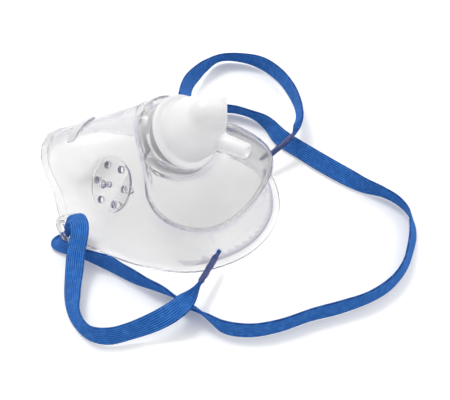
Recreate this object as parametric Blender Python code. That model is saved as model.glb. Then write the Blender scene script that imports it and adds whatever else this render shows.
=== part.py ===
# Oxygen face mask with a swivelling elbow and a flat elastic head strap.
# The mask lies face down: its rim rests on z = 0, the chin points to +X and
# the nose to -X. Lengths in the tables are millimetres, turned into metres
# once, where a mesh is made.

import math

import bmesh
import bpy
import numpy as np
from mathutils import Matrix, Vector
from mathutils.bvhtree import BVHTree

MM = 0.001
GAP = 0.3            # clearance between pieces that meet

# Main sizes of the mask body
MASK_LENGTH = 97.2   # rim, nose to chin
MASK_WIDTH = 80.2    # rim, cheek to cheek
MASK_HEIGHT = 38.4   # table to the top of the brim, behind the port

# The body's tables, in proportions that the main sizes stretch. Radii are
# from the hub, an upright line inside the chamber. Stations run every
# 20 degrees from the chin round to the nose.
HUB_X = 11.6
RIM_RADII = (37.0, 36.8, 36.3, 35.7, 35.3, 36.8, 41.6, 45.2, 50.8, 60.2)
FOOT_RADII = (33.2, 32.6, 31.6, 28.4, 25.4, 26.6, 31.0, 35.0, 44.2, 55.0)
FOOT_HEIGHTS = (5.0, 5.0, 5.2, 5.5, 6.0, 6.2, 5.6, 4.6, 4.8, 8.2)
BRIM_RADII = (32.6, 33.2, 33.6, 30.2, 24.6, 18.5, 15.6, 15.0, 15.8, 16.8)
BRIM_HEIGHTS = (18.5, 18.5, 18.5, 18.5, 19.0, 22.0, 27.6, 33.0, 37.2, 38.4)
TABLE_SIZES = (97.2, 80.2, 38.4)     # length, width and height of the tables
WALL = 1.3
NOSE_LIFT = 4.0      # rim's arch over the nose bridge
NOSE_LIFT_START = math.radians(125)
FLANGE_WIDTH = 3.2
FLANGE_HEIGHT = 1.5
NECK_DEPTH = 2.6     # how far the chamber's neck stands in behind its brim
RIDGE_FALL = 0.793   # nose tent: fall towards the nose and side slope
SIDE_SLOPE = 1.58
RIDGE_ROUND = 8.0
SHELL_SEGMENTS = 64

# Port for the elbow, on the symmetry plane and tilted towards the chin
PORT_PLACE = (14.6, 0.0, 35.5)
PORT_TILT = math.radians(45)
PORT_BORE = 22.0
COLLAR_WALL = 1.7
COLLAR_DROP = (4.0, 6.6)     # below the seat, on the chin side and behind
COLLAR_FLARE = (1.5, 2.7)    # wider than the collar, on the same two sides

# Exhaust vents, one on each cheek
VENT_PLACE = (-5.1, 19.3)
VENT_SEAT_DIAMETER = 20.2
VENT_SEAT_STEP = 0.4
VENT_HOLE_DIAMETER = 2.8
VENT_CIRCLE_DIAMETER = 14.6
VENT_HOLES = 6
VENT_TURN = math.radians(22)
VENT_PEG_DIAMETER = 3.2
VENT_PEG_HEIGHT = 4.4

# Strap lugs on the rim's corners
LUG_PLACE = (-15.1, 35.6)
LUG_LENGTH = 14.0
LUG_THICKNESS = 1.4
LUG_BRIDGE = 1.4
LUG_ROOT = 6.0
LUG_LIFT = 0.9
LUG_SLOPE = math.radians(11)
LUG_CORNER = 4.0
SLOT_SIZE = (9.0, 2.2)

# Nose clip, a soft metal strip bent over the ridge
CLIP_X = -31.0
CLIP_SPAN = 14.0
CLIP_WIDTH = 5.4
CLIP_THICKNESS = 0.5

# Elbow connector
ELBOW_WALL = 1.5
PLUG_LENGTH = 7.0
PLUG_TAPER = 0.3
FLANGE_DIAMETER = 27.2
FLANGE_THICKNESS = 2.0
DOME_DIAMETER = 21.8
DOME_RISE = 5.5
STUB_DIAMETER = 11.8
STUB_START = 14.2
STUB_SHIFT = 3.0      # off the port's axis, away from the chin
STUB_LENGTH = 7.6
STUB_BEND = math.radians(52)
STUB_TURN = math.radians(39)
NIPPLE_DIAMETER = 6.2
NIPPLE_TIP_DIAMETER = 5.4
NIPPLE_BORE = 3.4
NIPPLE_START = 3.5
NIPPLE_LENGTH = 22.5

# Head strap: flat ribbed elastic, gathered into a rolled tip at both ends
STRAP_WIDTH = 6.8
STRAP_THICKNESS = 1.0
CORE_DIAMETER = 1.4
TIP_LENGTH = 17.0
TIP_WALL = 0.3
TUFT_LENGTH = 1.2
GATHER_LENGTH = 6.0
PINCH_SHARE = 0.5    # how much narrower the strap is where a slot holds it
PINCH_REACH = 6.5

# The strap's route: x, y, z and the roll of its width about the path,
# 0 where it lies flat and 90 where it stands on edge
STRAP_ROUTE = (
    (39.4, -19.5, 6.5, 0), (40.1, -25.2, 6.7, 0), (40.8, -31.0, 7.0, 0),
    (41.4, -36.4, 7.4, 0), (41.8, -40.6, 8.0, -2), (41.8, -44.8, 8.5, -6),
    (41.1, -49.4, 8.4, -14), (37.9, -55.3, 7.0, -46), (31.4, -62.8, 5.0, -70),
    (25.6, -68.2, 4.2, -74), (19.3, -70.0, 4.0, -82), (11.9, -66.9, 4.0, -66),
    (5.8, -60.3, 4.0, -36), (0.6, -51.6, 5.8, -16), (-2.2, -46.2, 8.2, -12),
    (-3.4, -43.2, 9.6, -12), (-4.8, -40.0, 10.8, -12), (-6.5, -37.6, 11.4, -10),
    (-8.7, -35.6, 11.2, -6), (-10.9, -34.5, 10.0, -2), (-12.2, -34.4, 8.2, 0),
    (-12.9, -35.2, 6.2, 0), (-13.3, -35.8, 4.6, 0), (-13.5, -36.2, 3.3, 0),
    (-13.8, -36.5, 2.1, 0), (-14.2, -37.1, 1.3, 0), (-15.0, -38.1, 0.95, 0),
    (-15.4, -39.3, 1.05, 2), (-15.3, -40.5, 1.5, 14), (-14.5, -41.8, 2.2, 38),
    (-12.6, -42.6, 3.0, 62), (-9.8, -42.9, 3.6, 80), (-6.4, -42.7, 3.8, 94),
    (-2.6, -42.4, 3.8, 98),
    (2.4, -42.0, 3.8, 92),
    (8.0, -41.5, 3.8, 78), (13.9, -42.0, 3.8, 84), (18.8, -42.3, 3.8, 88),
    (24.6, -42.4, 3.8, 100), (30.9, -42.1, 3.6, 108), (35.6, -42.4, 3.4, 122),
    (40.2, -43.0, 3.2, 132), (44.4, -43.9, 3.3, 130), (49.9, -44.8, 3.7, 108),
    (56.5, -45.7, 3.9, 92), (64.6, -42.7, 3.9, 88), (72.2, -35.9, 3.9, 92),
    (79.3, -26.5, 3.9, 91), (86.6, -18.4, 3.9, 90), (92.8, -9.8, 3.9, 92),
    (96.5, -0.7, 3.9, 88), (97.2, 8.6, 3.9, 82), (95.6, 17.5, 3.9, 74),
    (92.9, 25.7, 3.8, 66), (88.9, 32.3, 3.8, 74), (83.5, 36.0, 3.8, 74),
    (76.1, 37.6, 3.8, 78), (68.4, 37.2, 3.9, 100), (59.6, 38.3, 3.8, 122),
    (48.9, 40.4, 3.6, 130), (39.6, 42.4, 3.6, 122), (28.9, 45.3, 3.4, 126),
    (20.7, 49.4, 3.7, 98), (13.4, 50.6, 3.9, 70), (6.5, 50.0, 3.9, 66),
    (-0.8, 46.8, 3.9, 72), (-6.4, 44.4, 3.8, 78), (-9.8, 43.2, 3.6, 78),
    (-12.6, 42.6, 3.0, 62), (-14.5, 41.8, 2.2, 38), (-15.3, 40.5, 1.5, 14),
    (-15.4, 39.3, 1.05, 2), (-15.0, 38.1, 0.95, 0), (-14.2, 37.1, 1.3, 0),
    (-13.8, 36.5, 2.1, 0), (-13.5, 36.2, 3.3, 0), (-13.3, 35.8, 4.6, 0),
    (-12.9, 35.2, 6.2, 0), (-12.2, 34.4, 8.2, 0), (-10.9, 34.2, 9.8, 0),
    (-9.4, 35.8, 10.3, 6), (-9.8, 38.8, 9.9, 18),
    (-12.0, 42.4, 8.8, 38), (-14.4, 46.8, 7.8, 54), (-16.4, 52.6, 6.8, 64),
    (-17.0, 59.4, 5.9, 76), (-16.7, 66.7, 5.0, 94), (-14.3, 74.8, 4.3, 117),
    (-6.8, 79.2, 4.0, 108), (1.8, 80.2, 4.0, 90), (12.2, 76.5, 4.3, 80),
    (21.5, 69.2, 5.4, 78), (29.1, 59.9, 7.4, 76), (32.6, 53.2, 8.8, 66),
    (34.6, 47.6, 9.4, 30), (35.4, 43.2, 9.4, 0), (34.4, 38.6, 8.6, 0),
    (32.6, 33.2, 7.4, 0), (30.4, 27.6, 6.0, 0),
)
STRAP_STEPS = 2      # stations for each stretch of the route


def smooth(edge0, edge1, value):
    t = np.clip((value - edge0) / (edge1 - edge0), 0.0, 1.0)
    return t * t * (3.0 - 2.0 * t)


def even_curve(stations, theta):
    # Smooth even curve through values at evenly spaced angles, 0 to 180
    values = np.array(stations, float)
    last = len(values) - 1
    orders = np.arange(last + 1)
    weights = np.ones(last + 1)
    weights[[0, -1]] = 0.5
    terms = np.array([
        2.0 / last * np.sum(weights * values * np.cos(np.pi * j * orders / last))
        for j in orders
    ])
    terms[[0, -1]] /= 2.0
    return np.cos(np.outer(theta, orders)) @ terms


# How far the main sizes stretch the tables along X, Y and Z
STRETCH = np.array((MASK_LENGTH, MASK_WIDTH, MASK_HEIGHT)) / TABLE_SIZES
PORT_SEAT = Vector(PORT_PLACE * STRETCH)


def port_axes():
    axis = Vector((math.sin(PORT_TILT), 0.0, math.cos(PORT_TILT)))
    down = Vector((math.cos(PORT_TILT), 0.0, -math.sin(PORT_TILT)))
    return axis, down


def port_circle(theta, radius, drop):
    axis, down = (np.array(v) for v in port_axes())
    seat = np.array(PORT_SEAT)
    radius = np.broadcast_to(radius, theta.shape)[:, None]
    drop = np.broadcast_to(drop, theta.shape)[:, None]
    across = np.cos(theta)[:, None] * down
    across = across + np.sin(theta)[:, None] * np.array((0.0, 1.0, 0.0))
    return seat - drop * axis + radius * across


def polar(theta, radius, height):
    x = (HUB_X + radius * np.cos(theta)) * STRETCH[0]
    y = radius * np.sin(theta) * STRETCH[1]
    return np.stack([x, y, np.broadcast_to(height, theta.shape)], 1)


def tent(points):
    # Height of the nose tent over a plan position, from an unstated base
    along, aside = (points[:, :2] / STRETCH[:2]).T
    side = np.sqrt(aside ** 2 + RIDGE_ROUND ** 2)
    return (RIDGE_FALL * along - SIDE_SLOPE * side) * STRETCH[2]


def nose_wall(theta, share, foot, crease):
    # Ring on the nose tent, a share of the way from the foot to the crease
    ring = foot * (1.0 - share) + crease * share
    low = foot[:, 2] - tent(foot)
    high = crease[:, 2] - tent(crease)
    ring[:, 2] = tent(ring) + low * (1.0 - share) + high * share
    return ring


def skirt_rings(theta):
    rim = even_curve(RIM_RADII, theta)
    past = np.maximum(np.abs(theta) - NOSE_LIFT_START, 0.0)
    lift = NOSE_LIFT * (past / (math.pi - NOSE_LIFT_START)) ** 2
    top = FLANGE_HEIGHT
    edge = (
        (0.5, 0.0), (0.13, 0.22 * top), (0.0, 0.5 * top),
        (0.13, 0.8 * top), (0.6, top), (FLANGE_WIDTH - 0.8, top + 0.1),
    )
    rings = [polar(theta, rim - inset, lift + z) for inset, z in edge]
    foot = polar(theta, even_curve(FOOT_RADII, theta),
                 even_curve(FOOT_HEIGHTS, theta) * STRETCH[2])
    for share in (0.3, 0.65):
        rings.append(rings[5] * (1.0 - share) + foot * share)
    rings.append(foot)
    inner_edge = [
        polar(theta, rim - FLANGE_WIDTH - 0.3, lift + 0.35),
        polar(theta, rim - FLANGE_WIDTH, lift),
    ]
    return rings, inner_edge


def collar_profile(theta):
    turn = smooth(math.radians(20), math.radians(95), np.abs(theta))
    drop = COLLAR_DROP[0] + (COLLAR_DROP[1] - COLLAR_DROP[0]) * turn
    flare = COLLAR_FLARE[0] + (COLLAR_FLARE[1] - COLLAR_FLARE[0]) * turn
    outer = PORT_BORE / 2 + COLLAR_WALL
    lip = FLANGE_THICKNESS / 2 + GAP
    root = port_circle(theta, outer + flare, drop)
    rings = [
        root,
        port_circle(theta, outer + 0.35 * flare, 0.6 * drop + 0.4 * (lip + 0.4)),
        port_circle(theta, outer, 0.3 * drop + 0.7 * (lip + 0.4)),
        port_circle(theta, outer, lip + 0.4),
        port_circle(theta, outer - 0.3, lip),
        port_circle(theta, PORT_BORE / 2 + 0.3, lip),
        port_circle(theta, PORT_BORE / 2, lip + 0.4),
        port_circle(theta, PORT_BORE / 2, drop + 0.9),
    ]
    return rings


def chamber_rings(theta, foot, root):
    # From the foot over the brim to the collar's root. Round the chin the
    # brim overhangs a neck; round the nose it fades into the tent's crease.
    radius = even_curve(BRIM_RADII, theta)
    height = even_curve(BRIM_HEIGHTS, theta) * STRETCH[2]
    brim = polar(theta, radius, height)
    neck = radius - NECK_DEPTH
    mid = 0.5 * (foot[:, 2] + height)
    chin = [
        polar(theta, 0.35 * even_curve(FOOT_RADII, theta) + 0.65 * neck,
              0.7 * foot[:, 2] + 0.3 * mid),
        polar(theta, neck, mid),
        polar(theta, neck + 0.3, height - 4.0),
        polar(theta, radius - 1.4, height - 2.6),
        polar(theta, radius - 0.35, height - 1.3),
        brim,
        polar(theta, radius - 0.25, height + 1.2),
        polar(theta, radius - 1.2, height + 2.5),
    ]
    nose = [nose_wall(theta, s, foot, brim) for s in (0.1, 0.28, 0.48, 0.68, 0.86)]
    nose.append(brim)
    nose.append(0.9 * brim + 0.1 * root + np.array((0.0, 0.0, 0.5)))
    nose.append(0.75 * brim + 0.25 * root + np.array((0.0, 0.0, 0.5)))
    turn = smooth(math.radians(80), math.radians(118), np.abs(theta))[:, None]
    rings = [a * (1.0 - turn) + b * turn for a, b in zip(chin, nose)]
    start = rings[-1]
    front = 1.0 - turn[:, 0]
    for share in (0.22, 0.45, 0.68, 0.86):
        ring = start * (1.0 - share) + root * share
        swell = 4.0 * share * (1.0 - share) * front
        ring[:, 2] += 2.6 * swell + 0.9 * math.sin(math.pi * share) * front
        rings.append(ring)
    return rings


def ring_normals(rings):
    # Outward normals of a stack of closed rings
    grid = np.stack(rings)
    along = np.gradient(grid, axis=0)
    around = np.roll(grid, -1, axis=1) - np.roll(grid, 1, axis=1)
    normals = np.cross(around, along)
    return normals / np.linalg.norm(normals, axis=2)[:, :, None]


def mask_rings():
    theta = np.linspace(-math.pi, math.pi, SHELL_SEGMENTS, endpoint=False)
    skirt, inner_edge = skirt_rings(theta)
    collar = collar_profile(theta)
    chamber = chamber_rings(theta, skirt[-1], collar[0])
    outer = skirt[6:] + chamber + [collar[0]]
    normals = ring_normals(outer)
    inner = [ring - WALL * n for ring, n in zip(outer, normals)]
    rings = skirt[:6] + outer + collar[1:] + inner[::-1] + inner_edge
    return rings, np.stack(outer)


def mesh_object(name, mesh_data, material, origin=(0.0, 0.0, 0.0)):
    mesh = bpy.data.meshes.new(name)
    mesh_data.to_mesh(mesh)
    mesh_data.free()
    mesh.materials.append(material)
    obj = bpy.data.objects.new(name, mesh)
    obj.location = origin
    bpy.context.scene.collection.objects.link(obj)
    return obj


def loop_grid(rings, closed):
    # Quads between closed rings; the last ring joins the first if closed
    data = bmesh.new()
    verts = [[data.verts.new(Vector(p) * MM) for p in ring] for ring in rings]
    count = len(verts[0])
    last = len(verts) if closed else len(verts) - 1
    for i in range(last):
        low = verts[i]
        high = verts[(i + 1) % len(verts)]
        for j in range(count):
            k = (j + 1) % count
            data.faces.new((low[j], low[k], high[k], high[j]))
    if not closed:
        data.faces.new(verts[0][::-1])
        data.faces.new(verts[-1])
    bmesh.ops.recalc_face_normals(data, faces=data.faces)
    return data


def revolve(profile, segments, frame):
    # Closed solid of (radius, height) points turned about the frame's Z
    data = bmesh.new()
    rings = []
    for radius, height in profile:
        if radius < 1e-6:
            point = frame @ Vector((0.0, 0.0, height))
            rings.append([data.verts.new(point * MM)])
            continue
        ring = []
        for j in range(segments):
            a = 2.0 * math.pi * j / segments
            point = Vector((radius * math.cos(a), radius * math.sin(a), height))
            ring.append(data.verts.new((frame @ point) * MM))
        rings.append(ring)
    for low, high in zip(rings, rings[1:]):
        for j in range(segments):
            k = (j + 1) % segments
            corners = [low[j % len(low)], low[k % len(low)],
                       high[k % len(high)], high[j % len(high)]]
            data.faces.new(list(dict.fromkeys(corners)))
    for ring in (rings[0], rings[-1]):
        if len(ring) > 1:
            data.faces.new(ring)
    bmesh.ops.recalc_face_normals(data, faces=data.faces)
    return data


def axis_frame(origin, direction):
    turn = Vector(direction).to_track_quat('Z', 'Y').to_matrix().to_4x4()
    return Matrix.Translation(Vector(origin)) @ turn


def cutter(name, data):
    mesh = bpy.data.meshes.new(name)
    data.to_mesh(mesh)
    data.free()
    obj = bpy.data.objects.new(name, mesh)
    obj.display_type = 'WIRE'
    obj.hide_render = True
    bpy.context.scene.collection.objects.link(obj)
    return obj


def boolean(obj, operation, tool):
    step = obj.modifiers.new(tool.name, 'BOOLEAN')
    step.operation = operation
    step.solver = 'EXACT'
    step.object = tool


def material(name, colour, roughness, metallic=0.0, alpha=1.0):
    mat = bpy.data.materials.new(name)
    mat.use_nodes = True
    shader = mat.node_tree.nodes['Principled BSDF']
    shader.inputs['Base Color'].default_value = (*colour, 1.0)
    shader.inputs['Roughness'].default_value = roughness
    shader.inputs['Metallic'].default_value = metallic
    shader.inputs['Alpha'].default_value = alpha
    return mat


def outer_tree(outer):
    # Outside of the mask body as a search tree, in millimetres
    count = outer.shape[1]
    points = [Vector(p) for p in outer.reshape(-1, 3)]
    faces = []
    for i in range(outer.shape[0] - 1):
        for j in range(count):
            k = (j + 1) % count
            faces.append((i * count + j, i * count + k,
                          (i + 1) * count + k, (i + 1) * count + j))
    return BVHTree.FromPolygons(points, faces)


def surface_point(tree, x, y):
    # Highest point of the body above a plan position, and its normal
    above = Vector((x, y, MASK_LENGTH))
    spot, normal, _, _ = tree.ray_cast(above, Vector((0, 0, -1)))
    return spot, normal if normal.z > 0 else -normal


def vent_frame(tree, side):
    # Frame on the cheek: Z along the surface normal, X level
    x, y = VENT_PLACE * STRETCH[:2]
    spot, normal = surface_point(tree, x, side * y)
    level = Vector((0, 0, 1)).cross(normal).normalized()
    turn = Matrix((level, normal.cross(level), normal)).transposed().to_4x4()
    return Matrix.Translation(spot) @ turn


def add_vent(shell, frame, side, turn):
    seat = VENT_SEAT_DIAMETER / 2
    disc = [(seat, -0.7), (seat, VENT_SEAT_STEP - 0.15),
            (seat - 0.15, VENT_SEAT_STEP)]
    boolean(shell, 'UNION', cutter(f'vent_seat_{side}', revolve(disc, 32, frame)))
    peg = VENT_PEG_DIAMETER / 2
    top = VENT_SEAT_STEP + VENT_PEG_HEIGHT
    post = [(peg - 0.5, -0.7), (peg - 0.5, top - 1.3), (peg, top - 1.1),
            (peg - 0.1, top - 0.5), (peg - 0.7, top)]
    boolean(shell, 'UNION', cutter(f'vent_peg_{side}', revolve(post, 12, frame)))
    holes = bmesh.new()
    for i in range(VENT_HOLES):
        a = 2.0 * math.pi * i / VENT_HOLES + turn
        reach = VENT_CIRCLE_DIAMETER / 2
        spot = Matrix.Translation((reach * math.cos(a), reach * math.sin(a), 0.0))
        drill = [(VENT_HOLE_DIAMETER / 2, -4.0), (VENT_HOLE_DIAMETER / 2, 3.0)]
        one = revolve(drill, 12, frame @ spot)
        piece = bpy.data.meshes.new('hole')
        one.to_mesh(piece)
        one.free()
        holes.from_mesh(piece)
        bpy.data.meshes.remove(piece)
    boolean(shell, 'DIFFERENCE', cutter(f'vent_holes_{side}', holes))


def lug_frame(side):
    # X along the rim, Y outwards, Z up, raised towards the lug's outer edge
    x, y = LUG_PLACE * STRETCH[:2]
    place = Vector((x, side * y, 0.0))
    out = (place - Vector((HUB_X * STRETCH[0], 0.0, 0.0))).normalized()
    along = out.cross(Vector((0.0, 0.0, 1.0)))
    turn = Matrix((along, out, (0.0, 0.0, 1.0))).transposed().to_4x4()
    base = Matrix.Translation((0.0, -LUG_ROOT, LUG_LIFT))
    slope = base @ Matrix.Rotation(LUG_SLOPE, 4, 'X') @ base.inverted()
    return Matrix.Translation(place) @ turn @ slope


def outline_solid(outline, low, high, frame):
    data = bmesh.new()
    floor = [data.verts.new((frame @ Vector((x, y, low))) * MM) for x, y in outline]
    roof = [data.verts.new((frame @ Vector((x, y, high))) * MM) for x, y in outline]
    for i in range(len(outline)):
        j = (i + 1) % len(outline)
        data.faces.new((floor[i], floor[j], roof[j], roof[i]))
    data.faces.new(floor[::-1])
    data.faces.new(roof)
    bmesh.ops.recalc_face_normals(data, faces=data.faces)
    return data


def stadium(length, width, steps):
    points = []
    r = width / 2
    for sign in (1, -1):
        for i in range(steps + 1):
            a = math.pi * (i / steps - 0.5)
            points.append((sign * (length / 2 - r + r * math.cos(a)),
                           sign * r * math.sin(a)))
    return points


def lug_outline():
    half = LUG_LENGTH / 2
    reach = SLOT_SIZE[1] / 2 + LUG_BRIDGE
    corner = LUG_CORNER
    points = [(-half, -LUG_ROOT), (half, -LUG_ROOT)]
    for i in range(7):
        a = math.radians(15 * i)
        points.append((half - corner + corner * math.cos(a),
                       reach - corner + corner * math.sin(a)))
    for i in range(7):
        a = math.radians(90 + 15 * i)
        points.append((corner - half + corner * math.cos(a),
                       reach - corner + corner * math.sin(a)))
    return points


def add_lug(shell, side):
    frame = lug_frame(side)
    plate = outline_solid(lug_outline(), LUG_LIFT, LUG_LIFT + LUG_THICKNESS, frame)
    boolean(shell, 'UNION', cutter(f'lug_{side}', plate))
    slot = outline_solid(stadium(*SLOT_SIZE, 6), LUG_LIFT - LUG_THICKNESS,
                         LUG_LIFT + 3 * LUG_THICKNESS, frame)
    boolean(shell, 'DIFFERENCE', cutter(f'slot_{side}', slot))


def build_mask():
    rings, outer = mask_rings()
    tree = outer_tree(outer)
    clear = material('clear_vinyl', (0.86, 0.88, 0.92), 0.12, alpha=0.35)
    shell = mesh_object('mask_shell', loop_grid(rings, closed=True), clear)
    for side in (-1, 1):
        name = 'near' if side < 0 else 'far'
        add_vent(shell, vent_frame(tree, side), name, -side * VENT_TURN)
        add_lug(shell, side)
    return tree


def build_clip(tree):
    # Strip bent across the ridge, a gap above the body
    place = CLIP_X * STRETCH[0]
    rings = []
    steps = 16
    rows = (-1.0, -0.5, 0.0, 0.5, 1.0)
    for i in range(steps + 1):
        y = CLIP_SPAN * (i / steps - 0.5)
        corner = max(0.0, abs(y) - CLIP_SPAN / 2 + 1.2)
        half = CLIP_WIDTH / 2 - 1.2 + math.sqrt(max(1.2 ** 2 - corner ** 2, 0.04))
        low = []
        high = []
        for row in rows:
            spot, normal = surface_point(tree, place + 0.78 * row * half, y)
            low.append(spot + normal * GAP)
            high.append(spot + normal * (GAP + CLIP_THICKNESS))
        rings.append(low + high[::-1])
    metal = material('clip_metal', (0.80, 0.81, 0.83), 0.35, metallic=1.0)
    return mesh_object('nose_clip', loop_grid(rings, closed=False), metal)


def dome_profile(radius, base, below):
    # Straight side up to the dome's centre, then a hemisphere
    points = [(radius, below)]
    steps = 9
    for i in range(steps + 1):
        a = math.pi / 2 * i / steps
        points.append((radius * math.cos(a), base + radius * math.sin(a)))
    points[-1] = (0.0, base + radius)
    return points


def build_elbow():
    axis, down = port_axes()
    frame = axis_frame((0.0, 0.0, 0.0), axis)
    half = FLANGE_THICKNESS / 2
    plug = PORT_BORE / 2 - GAP
    rim = FLANGE_DIAMETER / 2
    end = -half - PLUG_LENGTH
    outer = [
        (plug - PLUG_TAPER - 0.4, end), (plug - PLUG_TAPER, end + 0.5),
        (plug, -half), (rim - 0.3, -half), (rim, -half + 0.3),
        (rim, half - 0.4), (rim - 0.5, half),
    ] + dome_profile(DOME_DIAMETER / 2, DOME_RISE, half)
    inner_radius = DOME_DIAMETER / 2 - ELBOW_WALL
    bore = plug - ELBOW_WALL
    cavity = [(bore, end - 2.0), (bore, half)]
    cavity += dome_profile(inner_radius, DOME_RISE, half + 1.0)
    white = material('milky_plastic', (0.88, 0.89, 0.90), 0.3, alpha=0.9)
    elbow = mesh_object('elbow_connector', revolve(outer, 40, frame), white,
                        PORT_SEAT * MM)

    lean = math.cos(STUB_TURN) * down + math.sin(STUB_TURN) * Vector((0.0, 1.0, 0.0))
    stub_axis = math.cos(STUB_BEND) * axis + math.sin(STUB_BEND) * lean
    stub_frame = axis_frame(axis * STUB_START - down * STUB_SHIFT, stub_axis)
    stub_radius = STUB_DIAMETER / 2
    ball = [(stub_radius * math.sin(math.radians(a)),
             -stub_radius * math.cos(math.radians(a))) for a in range(0, 91, 15)]
    ball[0] = (0.0, -stub_radius)
    stub = ball + [(stub_radius, STUB_LENGTH - 0.7),
                   (stub_radius - 0.2, STUB_LENGTH - 0.2),
                   (stub_radius - 0.7, STUB_LENGTH)]
    hollow_radius = stub_radius - ELBOW_WALL
    hollow = [(r * hollow_radius / stub_radius, z * hollow_radius / stub_radius)
              for r, z in ball]
    hollow.append((hollow_radius, STUB_LENGTH - ELBOW_WALL))

    nipple_axis = (axis + down).normalized()
    nipple_frame = axis_frame(axis * NIPPLE_START, nipple_axis)
    tip = NIPPLE_TIP_DIAMETER / 2
    root = NIPPLE_DIAMETER / 2
    nipple = [(root, 0.0), (root, 0.6 * NIPPLE_LENGTH),
              (tip, NIPPLE_LENGTH - 0.3), (tip - 0.3, NIPPLE_LENGTH)]
    nipple_bore = [(NIPPLE_BORE / 2, 0.0), (NIPPLE_BORE / 2, NIPPLE_LENGTH + 2.0)]

    tools = (
        ('UNION', 'stub', revolve(stub, 24, stub_frame)),
        ('UNION', 'nipple', revolve(nipple, 16, nipple_frame)),
        ('DIFFERENCE', 'cavity', revolve(cavity, 40, frame)),
        ('DIFFERENCE', 'stub_cavity', revolve(hollow, 16, stub_frame)),
        ('DIFFERENCE', 'nipple_bore', revolve(nipple_bore, 12, nipple_frame)),
    )
    for operation, name, data in tools:
        tool = cutter(f'elbow_{name}', data)
        tool.location = PORT_SEAT * MM
        boolean(elbow, operation, tool)
    return elbow


def spline(points, steps):
    # Centripetal curve through the points, with its length so far
    points = np.array(points, float)
    head = 2 * points[0] - points[1]
    tail = 2 * points[-1] - points[-2]
    chain = np.vstack([head, points, tail])
    curve = []
    for i in range(1, len(chain) - 2):
        p0, p1, p2, p3 = chain[i - 1:i + 3]
        t1 = np.linalg.norm((p1 - p0)[:3]) ** 0.5
        t2 = t1 + np.linalg.norm((p2 - p1)[:3]) ** 0.5
        t3 = t2 + np.linalg.norm((p3 - p2)[:3]) ** 0.5
        for t in np.linspace(t1, t2, steps, endpoint=False):
            a1 = ((t1 - t) * p0 + t * p1) / t1
            a2 = ((t2 - t) * p1 + (t - t1) * p2) / (t2 - t1)
            a3 = ((t3 - t) * p2 + (t - t2) * p3) / (t3 - t2)
            b1 = ((t2 - t) * a1 + t * a2) / t2
            b2 = ((t3 - t) * a2 + (t - t1) * a3) / (t3 - t1)
            curve.append(((t2 - t) * b1 + (t - t1) * b2) / (t2 - t1))
    curve.append(chain[-2])
    curve = np.array(curve)
    lengths = np.linalg.norm(np.diff(curve[:, :3], axis=0), axis=1)
    return curve, np.concatenate([[0.0], np.cumsum(lengths)])


def ribbon_frames(route):
    # Width and thickness directions along the route
    centres = route[:, :3]
    run = np.gradient(centres, axis=0)
    run /= np.linalg.norm(run, axis=1)[:, None]
    level = np.cross((0.0, 0.0, 1.0), run)
    level -= run * np.sum(level * run, axis=1)[:, None]
    level /= np.linalg.norm(level, axis=1)[:, None]
    rise = np.cross(run, level)
    roll = np.radians(route[:, 3])[:, None]
    wide = np.cos(roll) * level + np.sin(roll) * rise
    thick = np.cross(run, wide)
    return centres, wide, thick


def ribbon_ring(centre, wide, thick, width, thickness, chamfer):
    corners = []
    for sx, sy in ((1, -1), (1, 1), (-1, 1), (-1, -1)):
        a = (sx * width / 2, sy * (thickness / 2 - chamfer))
        b = (sx * (width / 2 - chamfer), sy * thickness / 2)
        corners += [a, b] if sx * sy > 0 else [b, a]
    return [centre + u * wide + v * thick for u, v in corners]


def pinch(centres):
    # 1 where a lug's slot holds the strap, falling to 0 away from it
    x, y = LUG_PLACE * STRETCH[:2]
    amount = np.zeros(len(centres))
    for side in (-1, 1):
        away = np.linalg.norm(centres - np.array((x, side * (y + 2.4), 1.6)), axis=1)
        amount = np.maximum(amount, np.exp(-(away / PINCH_REACH) ** 2))
    return amount


def build_strap():
    stretch = (STRETCH[0], STRETCH[1], 1.0, 1.0)
    route, reach = spline(np.array(STRAP_ROUTE) * stretch, STRAP_STEPS)
    centres, wide, thick = ribbon_frames(route)
    held = pinch(centres)
    length = reach[-1]
    from_end = np.minimum(reach, length - reach)
    gather = smooth(TIP_LENGTH, TIP_LENGTH + GATHER_LENGTH, from_end)
    width = CORE_DIAMETER + (STRAP_WIDTH - CORE_DIAMETER) * gather
    thickness = CORE_DIAMETER + (STRAP_THICKNESS - CORE_DIAMETER) * gather
    width = width * (1.0 - PINCH_SHARE * held)
    thickness = thickness * (1.0 + 0.5 * PINCH_SHARE * held)
    chamfer = 0.45 + (0.3 - 0.45) * gather
    rings = [ribbon_ring(*row) for row in
             zip(centres, wide, thick, width, thickness, chamfer)]
    blue = material('blue_elastic', (0.02, 0.12, 0.50), 0.75)
    strap = mesh_object('head_strap', loop_grid(rings, closed=False), blue)
    return strap, centres, wide, thick, reach


def build_tip(name, centres, wide, thick, reach, end):
    # Rolled sleeve round the gathered end of the strap
    inner = CORE_DIAMETER / 2 + GAP
    outer = inner + TIP_WALL
    segments = 14
    distance = reach if end == 'start' else reach[-1] - reach
    chosen = [i for i in range(len(reach))
              if TUFT_LENGTH < distance[i] < TIP_LENGTH]
    rows = [(centres[i], wide[i], thick[i]) for i in chosen]
    radii = [outer] * len(rows)
    rings = []
    for radius, backwards in ((outer, False), (inner, True)):
        order = rows[::-1] if backwards else rows
        for centre, u, v in order:
            rings.append([
                centre + radius * (math.cos(a) * u + math.sin(a) * v)
                for a in np.linspace(0, 2 * math.pi, segments, endpoint=False)
            ])
    film = material(f'{name}_film', (0.13, 0.12, 0.36), 0.3)
    return mesh_object(name, loop_grid(rings, closed=True), film)


for item in list(bpy.data.objects):
    bpy.data.objects.remove(item, do_unlink=True)

body_tree = build_mask()
build_clip(body_tree)
build_elbow()
strap_data = build_strap()[1:]
build_tip('strap_tip_near', *strap_data, 'start')
build_tip('strap_tip_far', *strap_data, 'end')
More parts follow.
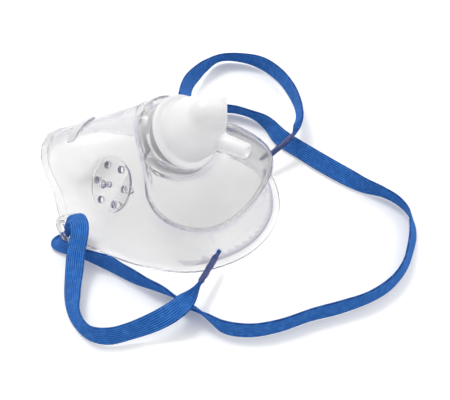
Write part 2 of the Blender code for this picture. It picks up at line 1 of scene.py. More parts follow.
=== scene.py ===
import bpy
import bmesh
import math
import numpy as np
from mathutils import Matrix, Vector


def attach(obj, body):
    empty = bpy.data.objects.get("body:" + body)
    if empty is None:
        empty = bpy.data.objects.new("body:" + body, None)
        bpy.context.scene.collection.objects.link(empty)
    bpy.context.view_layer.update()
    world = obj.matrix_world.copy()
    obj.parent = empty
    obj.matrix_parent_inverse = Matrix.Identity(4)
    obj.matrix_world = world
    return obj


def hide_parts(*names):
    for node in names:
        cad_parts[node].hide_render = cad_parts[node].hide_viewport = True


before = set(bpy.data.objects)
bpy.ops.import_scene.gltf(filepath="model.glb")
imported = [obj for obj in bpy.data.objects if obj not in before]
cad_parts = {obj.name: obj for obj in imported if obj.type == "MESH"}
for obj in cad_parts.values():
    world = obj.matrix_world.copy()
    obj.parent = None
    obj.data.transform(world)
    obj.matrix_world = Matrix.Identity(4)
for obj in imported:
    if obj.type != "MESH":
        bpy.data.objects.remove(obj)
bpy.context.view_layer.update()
mm = 0.001

# view: the photograph's camera; every length in the dictionaries is in mm unless a note says otherwise

view = dict(
    target=(25.7, 8.2, 0.0),    # what the camera looks at
    turn=30.0,                  # degrees round from the mask's side
    lift=46.0,                  # degrees above the table
    distance=432.0,
    lens=93.5,
    film=36.0,                  # width of the sensor
    nearest=10.0,
    furthest=20000.0,
    bounces=28,                 # many clear walls stand behind one another
    wallBounces=24,
    glossBounces=12,
)


def linked(name, data):
    made = bpy.data.objects.new(name, data)
    bpy.context.scene.collection.objects.link(made)
    return made


def makeCamera():
    turn, lift = math.radians(view["turn"]), math.radians(view["lift"])
    back = Vector((math.sin(turn) * math.cos(lift), -math.cos(turn) * math.cos(lift), math.sin(lift)))
    data = bpy.data.cameras.new("photoCamera")
    data.lens, data.sensor_width = view["lens"], view["film"]
    data.clip_start, data.clip_end = view["nearest"] * mm, view["furthest"] * mm
    camera = linked("photoCamera", data)
    camera.location = (Vector(view["target"]) + back * view["distance"]) * mm
    camera.rotation_euler = back.to_track_quat("Z", "Y").to_euler()
    bpy.context.scene.camera = camera


makeCamera()
bpy.context.scene.view_settings.view_transform = "Standard"
cycles = bpy.context.scene.cycles
cycles.max_bounces, cycles.transmission_bounces = view["bounces"], view["wallBounces"]
cycles.glossy_bounces = view["glossBounces"]
print("camera placed")


# node sockets as values: an expression on them adds its Math nodes

class Wire:
    def __init__(self, finish, socket):
        self.finish, self.socket = finish, socket

    def math(self, operation, *values):
        return self.finish.node("ShaderNodeMath", dict(operation=operation), dict(enumerate(values)))

    def __add__(self, other):
        return self.math("ADD", self, other)

    def __sub__(self, other):
        return self.math("SUBTRACT", self, other)

    def __rsub__(self, other):
        return self.math("SUBTRACT", other, self)

    def __mul__(self, other):
        return self.math("MULTIPLY", self, other)

    def __pow__(self, other):
        return self.math("POWER", self, other)

    def sine(self):
        return self.math("SINE", self)

    def cosine(self):
        return self.math("COSINE", self)

    def clipped(self):
        return self.math("MINIMUM", self.math("MAXIMUM", self, 0.0), 1.0)

    def rise(self, start, full):
        return ((self - start) * (1 / (full - start))).clipped()    # 0 at start, 1 from full on

    __radd__, __rmul__ = __add__, __mul__


class Finish:
    def __init__(self, name, **fixed):
        self.material = bpy.data.materials.new(name)
        self.material.use_nodes = True
        self.tree = self.material.node_tree
        self.shader = self.tree.nodes["Principled BSDF"]
        self.set(**fixed)

    def node(self, kind, settings=None, sockets=None, out=0):
        made = self.tree.nodes.new(kind)
        for key, value in (settings or {}).items():
            setattr(made, key, value)
        self.plug(made, sockets or {})
        return Wire(self, made.outputs[out])

    def plug(self, node, sockets):
        for key, value in sockets.items():
            if isinstance(value, Wire):
                self.tree.links.new(value.socket, node.inputs[key])
            else:
                node.inputs[key].default_value = value

    def set(self, **sockets):
        self.plug(self.shader, {key.replace("_", " "): value for key, value in sockets.items()})
        return self

    def place(self, output="Object"):
        return self.node("ShaderNodeTexCoord", out=output)

    def along(self, where, axis):
        return self.node("ShaderNodeSeparateXYZ", None, {0: where}, out=axis)

    def noise(self, scale, detail, stretch=(1, 1, 1)):
        spot = self.node("ShaderNodeMapping", None, {"Vector": self.place(), "Scale": stretch})
        return self.node("ShaderNodeTexNoise", None, {"Vector": spot, "Scale": scale, "Detail": detail})

    def blend(self, factor, first, second):
        first, second = ((*shade, 1) if isinstance(shade, tuple) else shade for shade in (first, second))
        sockets = {"Factor": factor, 6: first, 7: second}
        return self.node("ShaderNodeMix", dict(data_type="RGBA"), sockets, out=2)

    def bump(self, height, depth, strength, under=None):
        sockets = {"Height": height, "Distance": depth * mm, "Strength": strength}
        if under:
            sockets["Normal"] = under
        return self.node("ShaderNodeBump", None, sockets)


# surfaces on grids

def gridPiece(name, points, uv, finish):
    # rows run along u and columns round v; every cell is one quad, and a fan closes each end
    rows, columns = points.shape[:2]
    i, j = (side.ravel() for side in np.meshgrid(np.arange(rows - 1), np.arange(columns), indexing="ij"))
    k, hub = np.arange(columns), np.full(columns, rows * columns)
    corner = lambda a, b: a * columns + b % columns
    quads = np.stack([corner(i, j), corner(i + 1, j), corner(i + 1, j + 1), corner(i, j + 1)], 1)
    first = np.stack([hub, corner(0, k), corner(0, k + 1)], 1)
    last = np.stack([hub + 1, corner(rows - 1, k + 1), corner(rows - 1, k)], 1)
    vertices = np.vstack([points.reshape(-1, 3), points[0].mean(0), points[-1].mean(0)])
    cells = np.stack([np.stack([uv[0][i + a], uv[1][j + b]], 1)
                      for a, b in ((0, 0), (1, 0), (1, 1), (0, 1))], 1)
    fans = [np.tile([uv[0][end], uv[1][0]], (3 * columns, 1)) for end in (0, -1)]
    mesh = bpy.data.meshes.new(name)
    mesh.from_pydata((vertices * mm).tolist(), [], quads.tolist() + first.tolist() + last.tolist())
    layer = mesh.uv_layers.new(name="weave")
    layer.data.foreach_set("uv", np.vstack([cells.reshape(-1, 2), *fans]).astype(np.float32).ravel())
    work = bmesh.new()
    work.from_mesh(mesh)
    if work.calc_volume(signed=True) < 0:
        bmesh.ops.reverse_faces(work, faces=work.faces[:])
    work.to_mesh(mesh)
    work.free()
    mesh.polygons.foreach_set("use_smooth", [True] * len(mesh.polygons))
    mesh.materials.append(finish.material)
    return linked(name, mesh)


def mergedCopy(node, name, finish, crease):
    # the node's own shape with its corners joined, smooth across faces that meet at less than the crease
    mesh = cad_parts[node].data.copy()
    work = bmesh.new()
    work.from_mesh(mesh)
    bmesh.ops.remove_doubles(work, verts=work.verts[:], dist=0.002 * mm)
    bmesh.ops.dissolve_degenerate(work, edges=work.edges[:], dist=0.001 * mm)
    for edge in work.edges:
        edge.smooth = edge.is_manifold and edge.calc_face_angle(math.tau) < math.radians(crease)
    for face in work.faces:
        face.smooth = True
    mesh.clear_geometry()
    work.to_mesh(mesh)
    work.free()
    mesh.materials.clear()
    mesh.materials.append(finish.material)
    return linked(name, mesh)


# strap: one ribbed elastic that lies round the mask

strap = dict(
    width=6.8,
    thickness=1.0,
    ribs=8,                 # cords across the width
    ribDepth=0.2,
    ribPoints=8,            # grid columns on a rib
    edge=0.3,               # radius of its two edges
    edgePoints=5,
    core=1.4,               # where it is rolled together for its tips
    tipLength=17.0,
    gatherLength=11.0,
    pleats=2.5,             # waves across it, where it gathers
    pleatDepth=0.28,
    wave=0.05,              # height of the slow waves along it
    waveTurn=0.33,          # radians in one mm
    waveSkew=1.2,           # radians from the middle to an edge
    steps=7,                # rings between two route points
    slotsAt=((-15.1, -38.0, 1.6), (-15.1, 38.0, 1.6)),   # where the lugs hold it
    pinchShare=0.5,
    pinchReach=6.5,
    weaveUnit=10.0,         # strap length for one unit of its UV map
    picks=17,               # cross threads in that length
    pickSkew=1.2,           # how far they bow over each rib, radians
    pickDepth=0.12,
    fuzzDepth=0.06,
    grooveSharpness=2.2,
    grooveShare=0.85,       # how dark the painted groove shade and the cross threads are
    pickShare=0.3,
    cordTopLift=0.05,        # taken off both, so that the cords' tops stay free of them
    fuzzGrain=2600.0,       # noise scales are for one metre
    patchGrain=520.0,
    patchFrom=0.44,         # noise value above which the cords look worn
    patchShare=1.5,
    blue=(0.030, 0.172, 0.56),
    # painted shade: the dark blue in the grooves between the cords
    groove=(0.003, 0.040, 0.19),
    worn=(0.060, 0.23, 0.64),
)

# x, y, z in mm and the strap's roll in degrees, the same points as in the solids
strapRoute = np.array((
    (39.4, -19.5, 6.5, 0), (40.1, -25.2, 6.7, 0), (40.8, -31.0, 7.0, 0),
    (41.4, -36.4, 7.4, 0), (41.8, -40.6, 8.0, -2), (41.8, -44.8, 8.5, -6),
    (41.1, -49.4, 8.4, -14), (37.9, -55.3, 7.0, -46), (31.4, -62.8, 5.0, -70),
    (25.6, -68.2, 4.2, -74), (19.3, -70.0, 4.0, -82), (11.9, -66.9, 4.0, -66),
    (5.8, -60.3, 4.0, -36), (0.6, -51.6, 5.8, -16), (-2.2, -46.2, 8.2, -12),
    (-3.4, -43.2, 9.6, -12), (-4.8, -40.0, 10.8, -12), (-6.5, -37.6, 11.4, -10),
    (-8.7, -35.6, 11.2, -6), (-10.9, -34.5, 10.0, -2), (-12.2, -34.4, 8.2, 0),
    (-12.9, -35.2, 6.2, 0), (-13.3, -35.8, 4.6, 0), (-13.5, -36.2, 3.3, 0),
    (-13.8, -36.5, 2.1, 0), (-14.2, -37.1, 1.3, 0), (-15.0, -38.1, 0.95, 0),
    (-15.4, -39.3, 1.05, 2), (-15.3, -40.5, 1.5, 14), (-14.5, -41.8, 2.2, 38),
    (-12.6, -42.6, 3.0, 62), (-9.8, -42.9, 3.6, 80), (-6.4, -42.7, 3.8, 94),
    (-2.6, -42.4, 3.8, 98), (2.4, -42.0, 3.8, 92), (8.0, -41.5, 3.8, 78),
    (13.9, -42.0, 3.8, 84), (18.8, -42.3, 3.8, 88), (24.6, -42.4, 3.8, 100),
    (30.9, -42.1, 3.6, 108), (35.6, -42.4, 3.4, 122), (40.2, -43.0, 3.2, 132),
    (44.4, -43.9, 3.3, 130), (49.9, -44.8, 3.7, 108), (56.5, -45.7, 3.9, 92),
    (64.6, -42.7, 3.9, 88), (72.2, -35.9, 3.9, 92), (79.3, -26.5, 3.9, 91),
    (86.6, -18.4, 3.9, 90), (92.8, -9.8, 3.9, 92), (96.5, -0.7, 3.9, 88),
    (97.2, 8.6, 3.9, 82), (95.6, 17.5, 3.9, 74), (92.9, 25.7, 3.8, 66),
    (88.9, 32.3, 3.8, 74), (83.5, 36.0, 3.8, 74), (76.1, 37.6, 3.8, 78),
    (68.4, 37.2, 3.9, 100), (59.6, 38.3, 3.8, 122), (48.9, 40.4, 3.6, 130),
    (39.6, 42.4, 3.6, 122), (28.9, 45.3, 3.4, 126), (20.7, 49.4, 3.7, 98),
    (13.4, 50.6, 3.9, 70), (6.5, 50.0, 3.9, 66), (-0.8, 46.8, 3.9, 72),
    (-6.4, 44.4, 3.8, 78), (-9.8, 43.2, 3.6, 78), (-12.6, 42.6, 3.0, 62),
    (-14.5, 41.8, 2.2, 38), (-15.3, 40.5, 1.5, 14), (-15.4, 39.3, 1.05, 2),
    (-15.0, 38.1, 0.95, 0), (-14.2, 37.1, 1.3, 0), (-13.8, 36.5, 2.1, 0),
    (-13.5, 36.2, 3.3, 0), (-13.3, 35.8, 4.6, 0), (-12.9, 35.2, 6.2, 0),
    (-12.2, 34.4, 8.2, 0), (-10.9, 34.2, 9.8, 0), (-9.4, 35.8, 10.3, 6),
    (-9.8, 38.8, 9.9, 18), (-12.0, 42.4, 8.8, 38), (-14.4, 46.8, 7.8, 54),
    (-16.4, 52.6, 6.8, 64), (-17.0, 59.4, 5.9, 76), (-16.7, 66.7, 5.0, 94),
    (-14.3, 74.8, 4.3, 117), (-6.8, 79.2, 4.0, 108), (1.8, 80.2, 4.0, 90),
    (12.2, 76.5, 4.3, 80), (21.5, 69.2, 5.4, 78), (29.1, 59.9, 7.4, 76),
    (32.6, 53.2, 8.8, 66), (34.6, 47.6, 9.4, 30), (35.4, 43.2, 9.4, 0),
    (34.4, 38.6, 8.6, 0), (32.6, 33.2, 7.4, 0), (30.4, 27.6, 6.0, 0),
))


def curveThrough(points, steps):
    # centripetal curve: each stretch blends the lines through its four nearest points by distance
    chain = np.vstack([2 * points[0] - points[1], points, 2 * points[-1] - points[-2]])
    p0, p1, p2, p3 = (chain[k:len(chain) - 3 + k, None] for k in range(4))
    gap = lambda a, b: np.linalg.norm((b - a)[..., :3], axis=-1, keepdims=True) ** 0.5
    t1 = gap(p0, p1)
    t2 = t1 + gap(p1, p2)
    t3 = t2 + gap(p2, p3)
    t = t1 + (t2 - t1) * (np.arange(steps) / steps)[None, :, None]
    a1 = ((t1 - t) * p0 + t * p1) / t1
    a2 = ((t2 - t) * p1 + (t - t1) * p2) / (t2 - t1)
    a3 = ((t3 - t) * p2 + (t - t2) * p3) / (t3 - t2)
    b1 = ((t2 - t) * a1 + t * a2) / t2
    b2 = ((t3 - t) * a2 + (t - t1) * a3) / (t3 - t1)
    curve = ((t2 - t) * b1 + (t - t1) * b2) / (t2 - t1)
    return np.vstack([curve.reshape(-1, points.shape[1]), points[-1]])


def stepped(low, high, x):
    t = np.clip((x - low) / (high - low), 0, 1)
    return t * t * (3 - 2 * t)      # 0 at low, 1 at high, level at both


def strapLine():
    # centres, width and thickness directions and the length so far; the width direction is
    # level and square to the run, then turned by the roll about the run
    route = curveThrough(strapRoute.astype(float), strap["steps"])
    centres = route[:, :3]
    run = np.gradient(centres, axis=0)
    run /= np.linalg.norm(run, axis=1)[:, None]
    level = np.cross((0.0, 0.0, 1.0), run)
    level /= np.linalg.norm(level, axis=1)[:, None]
    roll = np.radians(route[:, 3])[:, None]
    wide = np.cos(roll) * level + np.sin(roll) * np.cross(run, level)
    reach = np.concatenate([[0.0], np.cumsum(np.linalg.norm(np.diff(centres, axis=0), axis=1))])
    return centres, wide, np.cross(run, wide), reach


centres, wide, thick, reach = strapLine()


def strapSurface():
    # across the strap each face stands at half the thickness, lowered by one cosine wave for each rib,
    # and a half circle closes each edge; towards the ends width and thickness shrink to the rolled core
    toEnd = np.minimum(reach, reach[-1] - reach)
    full = stepped(strap["tipLength"] - 1, strap["tipLength"] + strap["gatherLength"], toEnd)[:, None]
    fold = 4 * full * (1 - full)        # most in the middle of the gather
    flat = np.linspace(-1, 1, strap["ribPoints"] * strap["ribs"] + 1)
    bend = np.radians(np.linspace(90, -90, strap["edgePoints"] + 2)[1:-1])
    across = np.concatenate([flat, 1 + 0 * bend, flat[::-1], -1 + 0 * bend])
    over = np.concatenate([1 + 0 * flat, np.sin(bend), -1 + 0 * flat, -np.sin(bend)])
    bulge = np.concatenate([0 * flat, np.cos(bend), 0 * flat, -np.cos(bend)])
    rib = np.cos(across * math.pi * strap["ribs"]) * (np.abs(over) == 1)    # none on the edges
    away = np.min([np.linalg.norm(centres - np.array(spot), axis=1) for spot in strap["slotsAt"]], axis=0)
    held = strap["pinchShare"] * np.exp(-(away / strap["pinchReach"]) ** 2)[:, None]
    half = (strap["core"] + (strap["width"] - strap["core"]) * full) * (1 - held) / 2
    depth = (strap["core"] + (strap["thickness"] - strap["core"]) * full) * (1 + held / 2) / 2
    x = across * (half - strap["edge"]) + bulge * strap["edge"]
    y = over * (depth - strap["ribDepth"] / 2 * (1 + rib * (1 + fold)))
    y = y + strap["pleatDepth"] * fold * np.sin(across * math.pi * strap["pleats"])
    y = y + strap["wave"] * np.sin(reach[:, None] * strap["waveTurn"] + strap["waveSkew"] * across) * full
    points = centres[:, None] + x[..., None] * wide[:, None] + y[..., None] * thick[:, None]
    widths = np.where(over > 0, (across + 1) / 2, 1 + (1 - across) / 2)     # run round the section
    return points, (reach / strap["weaveUnit"], np.append(widths, 2.0) * strap["width"] / strap["weaveUnit"])


def elasticFinish():
    made = Finish("ribbedElastic", Specular_IOR_Level=0.12, Sheen_Weight=0.08, Sheen_Roughness=0.5)
    spot = made.place("UV")
    turns = math.tau * strap["ribs"] * strap["weaveUnit"] / strap["width"]
    rib = (made.along(spot, "Y") * turns).cosine()
    # where the painted groove shade falls
    groove = (rib * 0.5 + 0.5) ** strap["grooveSharpness"]
    picks = (made.along(spot, "X") * (math.tau * strap["picks"]) + rib * strap["pickSkew"]).sine() * 0.5 + 0.5
    patch = made.noise(strap["patchGrain"], 3.0)
    dark = groove * strap["grooveShare"] + picks * strap["pickShare"] - strap["cordTopLift"]
    shade = made.blend(dark.clipped(), strap["blue"], strap["groove"])
    shade = made.blend((patch - strap["patchFrom"]).clipped() * strap["patchShare"], shade, strap["worn"])
    threads = made.bump(picks * (1 - groove), strap["pickDepth"], 0.6)
    fuzz = made.bump(made.noise(strap["fuzzGrain"], 3.0), strap["fuzzDepth"], 0.5, threads)
    return made.set(Base_Color=shade, Normal=fuzz, Roughness=picks * 0.1 + 0.7)


# tips: the strap's ends rolled tight in film, with a small frayed tuft

tip = dict(
    radius=1.15,
    core=0.62,              # radius of the bare strap at both ends of the film
    drawIn=(1.6, 2.2),      # length over which the film narrows at its outer and inner end
    sides=24,
    plies=3,
    plyDepth=0.14,          # share of the radius
    twist=0.42,             # radians round in one mm
    swell=0.05,
    swellTurn=1.7,
    stripeTurn=26.0,        # radians in one unit of the UV map
    stripeShare=0.55,
    purple=(0.012, 0.034, 0.155),
    dark=(0.012, 0.024, 0.11),
    pale=(0.07, 0.08, 0.27),
    patchGrain=420.0,
    patchFrom=0.45,
    patchShare=1.6,
    skinGrain=1500.0,
    skinDepth=0.08,
    past=(0.3, 0.6),        # how far the film runs over the tuft and over the flat strap
    tuft=1.4,               # bare threads past the film
    tuftSunk=0.4,
    threads=16,
    threadSeed=7,
    threadRadius=0.13,
    threadTaper=0.45,
    threadRoot=0.25,        # share of its length inside the tip
    threadSpread=0.32,
    threadLength=(1.0, 1.9),
    threadLean=(0.15, 0.75),
)


def tipSurface(fromEnd):
    # radius swells with the plies, which turn as they go; both ends draw in to the strap's core
    chosen = (fromEnd > tip["tuft"] - tip["past"][0]) & (fromEnd < strap["tipLength"] + tip["past"][1])
    spots = fromEnd[chosen]
    angle = np.linspace(0, math.tau, tip["sides"], endpoint=False)
    ply = np.abs(np.sin((angle[None] - tip["twist"] * spots[:, None]) * tip["plies"] / 2))
    outer, inner = tip["drawIn"]
    ends = stepped(0, outer, spots - spots.min()) * stepped(0, inner, spots.max() - spots)
    radius = (tip["core"] + (tip["radius"] - tip["core"]) * ends[:, None]) * (1 + tip["plyDepth"] * (ply - 1))
    radius = radius * (1 + tip["swell"] * np.sin(spots * tip["swellTurn"]))[:, None]
    spread = radius[..., None] * (np.cos(angle)[None, :, None] * wide[chosen][:, None]
                                  + np.sin(angle)[None, :, None] * thick[chosen][:, None])
    uv = spots / strap["weaveUnit"], np.append(angle, math.tau) / math.tau
    return centres[chosen][:, None] + spread, uv


def tuftPiece(name, at, way, side, up, finish):
    # each thread leaves the tip, bends outwards by the square of its length and grows thinner as it goes
    rng = np.random.default_rng(tip["threadSeed"])
    count, rings, sides = tip["threads"], 7, 5
    s = np.linspace(0, 1, rings)[None, :, None]
    angle = rng.uniform(0, math.tau, count)
    out = (np.cos(angle)[:, None] * side + np.sin(angle)[:, None] * up)[:, None]
    length = rng.uniform(*tip["threadLength"], count)[:, None, None]
    lean = rng.uniform(*tip["threadLean"], count)[:, None, None]
    line = at + out * tip["threadSpread"] + way * (s - tip["threadRoot"]) * length + out * lean * s * s
    ring = np.linspace(0, math.tau, sides, endpoint=False)[None, None, :, None]
    girth = (tip["threadRadius"] * (1 - tip["threadTaper"] * s))[..., None]
    tube = line[:, :, None] + girth * (np.cos(ring) * side + np.sin(ring) * up)
    uv = np.linspace(0, 0.2, rings), np.linspace(0, 1, sides + 1)
    work = bmesh.new()
    for k in range(count):
        thread = gridPiece(f"{name}{k}", tube[k], uv, finish)
        work.from_mesh(thread.data)
        bpy.data.objects.remove(thread, do_unlink=True)
    mesh = bpy.data.meshes.new(name)
    work.to_mesh(mesh)
    work.free()
    mesh.materials.append(finish.material)
    return linked(name, mesh)


def filmFinish():
    made = Finish("purpleFilm", Specular_IOR_Level=0.5, Coat_Weight=0.2, Coat_Roughness=0.25)
    spot = made.place("UV")
    turned = made.along(spot, "X") * tip["stripeTurn"] + made.along(spot, "Y") * (math.tau * tip["plies"])
    patch = made.noise(tip["patchGrain"], 3.0)
    shade = made.blend((turned.sine() * 0.5 + 0.5) * tip["stripeShare"], tip["purple"], tip["dark"])
    shade = made.blend((patch - tip["patchFrom"]).clipped() * tip["patchShare"], shade, tip["pale"])
    return made.set(Base_Color=shade, Roughness=patch * 0.3 + 0.25,
                    Normal=made.bump(made.noise(tip["skinGrain"], 2.0), tip["skinDepth"], 0.4))


elastic, film = elasticFinish(), filmFinish()
strapPiece = gridPiece("headStrap", *strapSurface(), elastic)
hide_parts("head_strap")
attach(strapPiece, "mask")

for label, fromEnd, end, inner in (("near", reach, 0, 4), ("far", reach[-1] - reach, -1, -5)):
    tipPiece = gridPiece(f"tip{label.title()}", *tipSurface(fromEnd), film)
    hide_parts(f"strap_tip_{label}")
    way = (centres[end] - centres[inner]) / np.linalg.norm(centres[end] - centres[inner])
    start = centres[end] - way * (tip["tuft"] - tip["tuftSunk"])
    tuft = tuftPiece(f"tuft{label.title()}", start, way, wide[end], thick[end], elastic)
    for piece, slot in ((tipPiece, "strap_tip"), (tuft, "elastic")):
        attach(piece, "mask")

print("strap laid, mm long:", round(float(reach[-1]), 1))


# port: the mask's mouth, where the elbow turns on an axis that leans 45 degrees forward

portSeat = np.array((14.6, 0.0, 35.5))
portAxis, portDown = np.array((1.0, 0.0, 1.0)) / 2 ** 0.5, np.array((1.0, 0.0, -1.0)) / 2 ** 0.5


# mask: one clear soft moulding

mask = dict(
    # partly painted shade: these greys stand for the light lost in the walls and also for the mask's own
    # shadow on the table, which it does not cast
    tint=(0.645, 0.644, 0.644),
    cloud=(0.62, 0.62, 0.62),
    chamberShade=(0.525, 0.524, 0.525),     # painted shade: the tall chamber darker, where the eye meets more wall
    webLight=(0.755, 0.755, 0.76),       # painted light: the nose web lighter, where few walls overlap
    behind=(0.955, 0.955, 0.96),    # walls seen through a wall
    rim=(0.12, 0.11, 0.22),         # painted shade on short walls: the holes, the pegs, the rim and the port's collar
    edge=(0.30, 0.25, 0.60),        # painted shade where a wall is seen along its length, set by the angle it is seen at
    deepForward=(-30.0, 41.43),     # each pair: where a zone starts and where it is full
    deepFront=(56.0, 39.33),
    deepHeight=(0.0, 25.0),
    webForward=(8.0, -3.11),
    webHeight=(10.0, 21.11),
    webAside=(85.0, 51.67),         # squares of the distance from the middle
    edgeShare=0.8,
    edgeShareLater=0.3,
    clear=0.92,
    haze=0.11,
    flowGrain=38.0,
    flowDepth=0.9,
    cloudFrom=0.35,
    cloudShare=1.2,
    skinGrain=700.0,
    skinDepth=0.04,
    bend=1.29,                      # index of refraction
    crease=34.0,                    # degrees
    vent=(-5.1, 19.3),              # middle of the near vent's seat, the far one mirrored
    ventTones=((2.5, 0.25), (8.9, 0.9), (10.6, 0.15)),     # peg, holes and ring: how far out, and how much of the painted shade on short walls
    seatBand=(3.0, 9.0),            # the seat's own flat, between the peg and the ring
    seatLow=4.0,                    # all of the seat is above this
    seatSteep=0.7,                  # a wall is short where the dot product is under this
    rimHeight=2.6,
    rimTone=0.4,
    portReach=16.5,
    portTone=0.08,
    steep=0.6,
)


def vinylFinish():
    made = Finish("clearVinyl", Transmission_Weight=mask["clear"], IOR=mask["bend"], Specular_IOR_Level=0.8)
    flow = made.noise(mask["flowGrain"], 2.0, stretch=(1, 1, 0.5))
    grain = made.noise(mask["skinGrain"], 3.0)
    spot = made.place()
    forward, aside, height = (made.along(spot, axis) * (1 / mm) for axis in "XYZ")
    # the zone of painted shade on the tall chamber
    chamberShadeZone = forward.rise(*mask["deepForward"]) * forward.rise(*mask["deepFront"])
    chamberShadeZone = chamberShadeZone * height.rise(*mask["deepHeight"])
    # the zone of painted light on the nose web
    webLight = forward.rise(*mask["webForward"]) * height.rise(*mask["webHeight"])
    webLight = webLight * (aside * aside).rise(*mask["webAside"])
    later = (made.node("ShaderNodeLightPath", out="Transmission Depth") - 1.0).clipped()
    # painted shade at grazing angles, less on walls seen through a wall
    grazing = made.node("ShaderNodeLayerWeight", None, {"Blend": 0.5}, out="Facing")
    along = grazing ** 4 * (mask["edgeShare"] - later * (mask["edgeShare"] - mask["edgeShareLater"]))
    # painted shade on the short walls, read from the faces' attribute
    shortShade = made.node("ShaderNodeAttribute", dict(attribute_name="shortWallShade"), out="Fac")
    tone = made.blend((flow - mask["cloudFrom"]).clipped() * mask["cloudShare"], mask["tint"], mask["cloud"])
    for share, shade in ((chamberShadeZone, "chamberShade"), (webLight, "webLight"), (later, "behind"), (shortShade, "rim"), (along, "edge")):
        tone = made.blend(share, tone, mask[shade])
    ripple = made.bump(flow, mask["flowDepth"], 0.5)
    return made.set(Base_Color=tone, Roughness=grain * 0.06 + mask["haze"] - 0.03,
                    Normal=made.bump(grain, mask["skinDepth"], 0.3, ripple))


def paintShortWallShade(mesh):
    # the short walls of the rim, the port's collar and each vent get painted shade: there the dot product
    # of the face's normal with the direction of the rim, the port or the vent's seat is small
    centre = np.array([face.center for face in mesh.polygons]) / mm
    normal = np.array([face.normal for face in mesh.polygons])
    area = np.array([face.area for face in mesh.polygons])
    rim = (centre[:, 2] < mask["rimHeight"]) & (np.abs(normal[:, 2]) < mask["steep"])
    collar = np.linalg.norm(centre - portSeat, axis=1) < mask["portReach"]
    collar &= np.abs(normal @ portAxis) < mask["steep"]
    # painted shade on the port's collar and the rim
    tone = np.where(collar, mask["portTone"], np.where(rim, mask["rimTone"], 0.0))
    away = np.hypot(centre[:, 0] - mask["vent"][0], np.abs(centre[:, 1]) - mask["vent"][1])
    (peg, pegTone), (holes, holeTone), (ring, ringTone) = mask["ventTones"]
    share = np.where(away < peg, pegTone, np.where(away < holes, holeTone, ringTone))
    for side in (-1, 1):
        near = (away < ring) & (centre[:, 2] > mask["seatLow"]) & (centre[:, 1] * side > 0)
        flat = near & (away > mask["seatBand"][0]) & (away < mask["seatBand"][1])
        up = np.array((0.0, 0.0, 1.0))
        for limit in (0.3, 0.85, 0.97, 0.995):      # the mean of ever fewer faces finds the seat's direction
            up = (normal * (area * flat * (normal @ up > limit))[:, None]).sum(0)
            up /= np.linalg.norm(up)
        tone = np.where(near & (np.abs(normal @ up) < mask["seatSteep"]), share, tone)
    corners = np.repeat(tone, [face.loop_total for face in mesh.polygons])
    mesh.attributes.new(name="shortWallShade", type="FLOAT", domain="CORNER").data.foreach_set("value", corners)


maskPiece = mergedCopy("mask_shell", "maskMoulding", vinylFinish(), mask["crease"])
paintShortWallShade(maskPiece.data)
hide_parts("mask_shell")
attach(maskPiece, "mask")
maskPiece.visible_shadow = False    # light goes through so clear a wall
print("mask moulded")


# elbow: one milky translucent moulding

elbow = dict(
    milk=(0.845, 0.845, 0.858),
    thin=(0.80, 0.80, 0.813),
    haze=0.34,
    grain=0.32,                 # between the points of its skin
    domeRise=6.5,               # from the port's seat to the dome's middle
    domeRadius=10.9,
    stubPlace=(14.2, -3.0),     # along the port's axis and down from it
    stubRadius=5.9,
    stubBend=52.0,              # degrees off the port's axis
    stubTurn=39.0,
    blendReach=2.6,             # how far the moulded corner spreads
    cloudGrain=60.0,
    cloudFrom=0.4,
    cloudShare=1.5,
    skinGrain=1400.0,
    skinDepth=0.03,
    blendRounds=90,
    blendShare=0.6,             # of the way to the mean in one round
    evenRounds=6,               # the first rounds, which also even out the whole skin
    evenShare=0.3,
)


def blendedElbow(finish):
    # points near both the dome and the stub move towards the mean of their neighbours, round after round,
    # by a share that falls as exp(-(a^2 + b^2) / reach^2), a and b being the distances from the two surfaces
    rough = mergedCopy("elbow_connector", "elbowRough", finish, 180)
    skin = rough.modifiers.new("skin", "REMESH")
    skin.mode, skin.voxel_size = "VOXEL", elbow["grain"] * mm
    mesh = bpy.data.meshes.new_from_object(rough.evaluated_get(bpy.context.evaluated_depsgraph_get()))
    bpy.data.objects.remove(rough, do_unlink=True)
    count = len(mesh.vertices)
    points, links = np.empty(3 * count), np.empty(2 * len(mesh.edges), dtype=np.int32)
    mesh.vertices.foreach_get("co", points)
    mesh.edges.foreach_get("vertices", links)
    points, links = points.reshape(-1, 3) / mm, links.reshape(-1, 2)
    first, second = np.concatenate([links, links[:, ::-1]]).T
    bend, turn = math.radians(elbow["stubBend"]), math.radians(elbow["stubTurn"])
    lean = math.cos(turn) * portDown + math.sin(turn) * np.array((0.0, 1.0, 0.0))
    stubWay = math.cos(bend) * portAxis + math.sin(bend) * lean
    fromStub = points - (portSeat + elbow["stubPlace"][0] * portAxis + elbow["stubPlace"][1] * portDown)
    onStub = np.maximum(fromStub @ stubWay, 0)[:, None] * stubWay
    offStub = np.linalg.norm(fromStub - onStub, axis=1) - elbow["stubRadius"]
    offDome = np.linalg.norm(points - portSeat - elbow["domeRise"] * portAxis, axis=1) - elbow["domeRadius"]
    share = elbow["blendShare"] * np.exp(-(offStub ** 2 + offDome ** 2) / elbow["blendReach"] ** 2)[:, None]
    degree = np.bincount(first, minlength=count)[:, None]
    for step in range(elbow["blendRounds"]):
        mean = np.stack([np.bincount(first, points[second, k], count) for k in range(3)], 1) / degree
        least = elbow["evenShare"] if step < elbow["evenRounds"] else 0.0
        points = points + np.maximum(share, least) * (mean - points)
    mesh.vertices.foreach_set("co", (points * mm).ravel())
    mesh.polygons.foreach_set("use_smooth", [True] * len(mesh.polygons))
    mesh.update()
    return linked("swivelElbow", mesh)


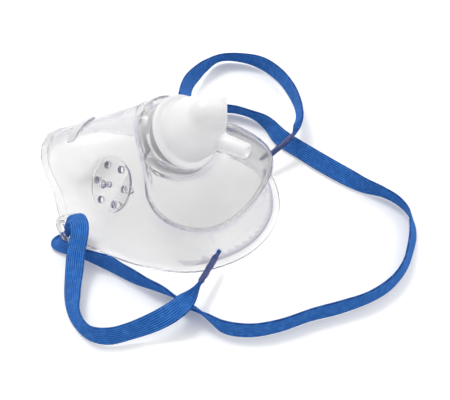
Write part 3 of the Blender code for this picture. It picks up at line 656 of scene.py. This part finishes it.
def frostFinish():
    made = Finish("milkyElbow", Transmission_Weight=0.3, IOR=1.35, Coat_Weight=0.35, Coat_Roughness=0.2)
    cloud = made.noise(elbow["cloudGrain"], 3.0)
    share = (cloud - elbow["cloudFrom"]).clipped() * elbow["cloudShare"]
    tone = made.blend(share, elbow["milk"], elbow["thin"])
    return made.set(Base_Color=tone, Roughness=cloud * 0.1 + elbow["haze"] - 0.05,
                    Normal=made.bump(made.noise(elbow["skinGrain"], 2.0), elbow["skinDepth"], 0.25))


elbowPiece = blendedElbow(frostFinish())
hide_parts("elbow_connector")
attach(elbowPiece, "elbow")
elbowPiece.visible_shadow = False
print("elbow moulded, faces:", len(elbowPiece.data.polygons))


# clip: a thin bent strip of soft metal on the nose ridge

clip = dict(
    pale=(0.74, 0.745, 0.76),
    dark=(0.60, 0.605, 0.64),
    crease=40.0,                # degrees
    brushGrain=900.0,
    brushDepth=0.03,
    edge=0.12,
    edgeAngle=50.0,
)


def clipFinish():
    made = Finish("clipMetal", Metallic=1.0)
    brushed = made.noise(clip["brushGrain"], 4.0, stretch=(0.06, 1, 1))
    tone = made.blend(brushed, clip["pale"], clip["dark"])
    return made.set(Base_Color=tone, Roughness=brushed * 0.22 + 0.24,
                    Normal=made.bump(brushed, clip["brushDepth"], 0.4))


clipPiece = mergedCopy("nose_clip", "noseStrip", clipFinish(), clip["crease"])
soften = clipPiece.modifiers.new("soften", "BEVEL")
soften.width, soften.segments = clip["edge"] * mm, 2
soften.limit_method, soften.angle_limit = "ANGLE", math.radians(clip["edgeAngle"])
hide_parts("nose_clip")
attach(clipPiece, "mask")
print("clip bent")


# studio: a white table, a pale room and two soft boxes

studio = dict(
    table=0.93,
    glow=0.07,
    reach=3000.0,               # from the middle to the table's edge
    drop=0.05,                  # the table lies this far under the object
    room=(0.905, 0.90, 0.885),
    aim=(10.0, 0.0, 20.0),      # what both boxes face
    boxes=(                     # name, place, size, watts
        ("boxLeft", (-600.0, 250.0, 1200.0), (420.0, 360.0), 7.0),
        ("boxRight", (450.0, 850.0, 850.0), (1000.0, 800.0), 2.4),
    ),
)


def makeTable():
    made = Finish("whiteTable", Roughness=0.85, Specular_IOR_Level=0.1, Emission_Strength=studio["glow"],
                  Base_Color=(studio["table"],) * 3 + (1,))
    seen = sum(made.node("ShaderNodeLightPath", out=f"Is {ray} Ray")
               for ray in ("Camera", "Glossy", "Transmission"))
    made.set(Emission_Color=made.blend(seen.clipped(), (0.0, 0.0, 0.0), (1.0, 1.0, 1.0)))
    corners = np.array(((-1, -1), (1, -1), (1, 1), (-1, 1))) * studio["reach"]
    mesh = bpy.data.meshes.new("table")
    mesh.from_pydata([(x * mm, y * mm, -studio["drop"] * mm) for x, y in corners], [], [(0, 1, 2, 3)])
    mesh.materials.append(made.material)
    linked("table", mesh)


def makeSoftBox(name, place, size, watts):
    data = bpy.data.lights.new(name, "AREA")
    data.shape, data.energy = "RECTANGLE", watts
    data.size, data.size_y = size[0] * mm, size[1] * mm
    lamp = linked(name, data)
    lamp.location = Vector(place) * mm
    lamp.rotation_euler = (Vector(place) - Vector(studio["aim"])).to_track_quat("Z", "Y").to_euler()


makeTable()
for box in studio["boxes"]:
    makeSoftBox(*box)
world = bpy.data.worlds.new("room")
world.use_nodes = True
world.node_tree.nodes["Background"].inputs["Color"].default_value = (*studio["room"], 1)
bpy.context.scene.world = world
print("studio lit")
